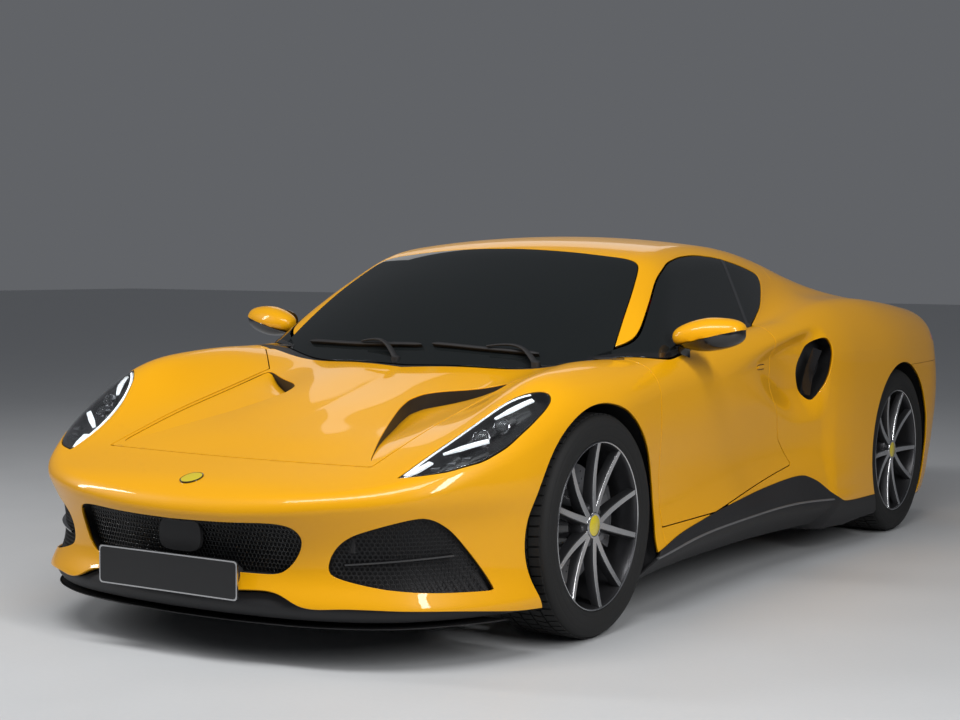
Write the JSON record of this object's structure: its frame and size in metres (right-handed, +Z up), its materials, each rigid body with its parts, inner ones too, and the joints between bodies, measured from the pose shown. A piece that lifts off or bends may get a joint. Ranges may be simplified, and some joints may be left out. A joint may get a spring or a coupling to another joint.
{
  "type": "mid-engined two-seat coupe car",
  "caption": "Low two-seat coupe with opening doors, lids, steering front wheels and four free-rolling wheels.",
  "frame": {"origin": "on the ground under the middle of the car's bounding box", "axes": "+X to the car's left, +Y to its rear (the nose faces -Y), +Z up"},
  "size_m": [2.092, 4.413, 1.225],
  "materials": {
    "paint": "warm yellow gloss lacquer",
    "black_gloss": "gloss black",
    "black_plastic": "satin black",
    "plate": "blank plate",
    "lamp_glass": "clear cover over a dark lamp",
    "tail_lamp": "red lens",
    "window_glass": "dark tinted glass",
    "tub": "satin composite",
    "cast_metal": "machined casting",
    "steel": "bare metal",
    "cabin_trim": "soft grained trim",
    "seat_leather": "grained black hide",
    "tyre": "rubber",
    "wheel_grey": "dark grey with bright machined edges",
    "disc_iron": "ground friction ring"
  },
  "bodies": {
    "body": {"front_bumper": "paint", "front_wings": "paint", "rear_wings": "paint", "rear_bumper": "paint", "roof_frame": "paint", "sills": "paint", "grilles": "black_gloss", "number_plates": "plate", "front_splitter": "black_plastic", "headlamps": "lamp_glass", "cowl": "black_plastic", "diffuser": "black_plastic", "windscreen": "window_glass", "quarter_windows": "window_glass", "tail_lamps": "tail_lamp", "wipers": "black_plastic", "side_skirts": "black_plastic", "arch_liners": "black_plastic", "chassis": "tub", "front_frame": "tub", "rear_frame": "tub", "engine": "cast_metal", "front_suspension": "steel", "rear_suspension": "steel", "dashboard": "cabin_trim", "seats": "seat_leather", "exhaust_tips": "steel"},
    "door_left": {"door_left": "paint", "door_glass_left": "window_glass", "mirror_left": "paint"},
    "door_right": {"door_right": "paint", "door_glass_right": "window_glass", "mirror_right": "paint"},
    "bonnet": {"bonnet": "paint"},
    "tailgate": {"tailgate": "paint", "rear_glass": "window_glass"},
    "steering_wheel": {"steering_wheel": "cabin_trim"},
    "knuckle_front_left": {"knuckle_front_left": "cast_metal"},
    "knuckle_front_right": {"knuckle_front_right": "cast_metal"},
    "wheel_front_left": {"tyre_front_left": "tyre", "rim_front_left": "wheel_grey", "hub_front_left": "disc_iron"},
    "wheel_front_right": {"tyre_front_right": "tyre", "rim_front_right": "wheel_grey", "hub_front_right": "disc_iron"},
    "wheel_rear_left": {"tyre_rear_left": "tyre", "rim_rear_left": "wheel_grey", "hub_rear_left": "disc_iron"},
    "wheel_rear_right": {"tyre_rear_right": "tyre", "rim_rear_right": "wheel_grey", "hub_rear_right": "disc_iron"}
  },
  "joints": [
    {"name": "door_left_hinge", "type": "hinge", "parent": "body", "child": "door_left", "pos_m": [0.85, -0.9215, 0.6], "axis": [0, 0, -1], "range_deg": [0, 65]},
    {"name": "door_right_hinge", "type": "hinge", "parent": "body", "child": "door_right", "pos_m": [-0.85, -0.9215, 0.6], "axis": [0, 0, 1], "range_deg": [0, 65]},
    {"name": "bonnet_hinge", "type": "hinge", "parent": "body", "child": "bonnet", "pos_m": [0, -0.9215, 0.806], "axis": [-1, 0, 0], "range_deg": [0, 50]},
    {"name": "tailgate_hinge", "type": "hinge", "parent": "body", "child": "tailgate", "pos_m": [0, 0.636, 1.187], "axis": [1, 0, 0], "range_deg": [0, 60]},
    {"name": "steer_front_left", "type": "hinge", "parent": "body", "child": "knuckle_front_left", "pos_m": [0.715, -1.2715, 0.34], "axis": [0, 0, 1], "range_deg": [-30, 30]},
    {"name": "steer_front_right", "type": "hinge", "parent": "body", "child": "knuckle_front_right", "pos_m": [-0.715, -1.2715, 0.34], "axis": [0, 0, 1], "range_deg": [-30, 30]},
    {"name": "steering_wheel_turn", "type": "hinge", "parent": "body", "child": "steering_wheel", "pos_m": [-0.37, -0.375, 0.72], "axis": [0, 0.9135, 0.4067], "range_deg": [-390, 390]},
    {"name": "roll_front_left", "type": "hinge", "parent": "knuckle_front_left", "child": "wheel_front_left", "pos_m": [0.777, -1.2715, 0.34], "axis": [1, 0, 0], "continuous": true},
    {"name": "roll_front_right", "type": "hinge", "parent": "knuckle_front_right", "child": "wheel_front_right", "pos_m": [-0.777, -1.2715, 0.34], "axis": [1, 0, 0], "continuous": true},
    {"name": "roll_rear_left", "type": "hinge", "parent": "body", "child": "wheel_rear_left", "pos_m": [0.784, 1.3035, 0.3425], "axis": [1, 0, 0], "continuous": true},
    {"name": "roll_rear_right", "type": "hinge", "parent": "body", "child": "wheel_rear_right", "pos_m": [-0.784, 1.3035, 0.3425], "axis": [1, 0, 0], "continuous": true}
  ],
  "couplings": [
    {"joint": "steer_front_right", "follows": "steer_front_left", "ratio": 1},
    {"joint": "steering_wheel_turn", "follows": "steer_front_left", "ratio": 13}
  ]
}
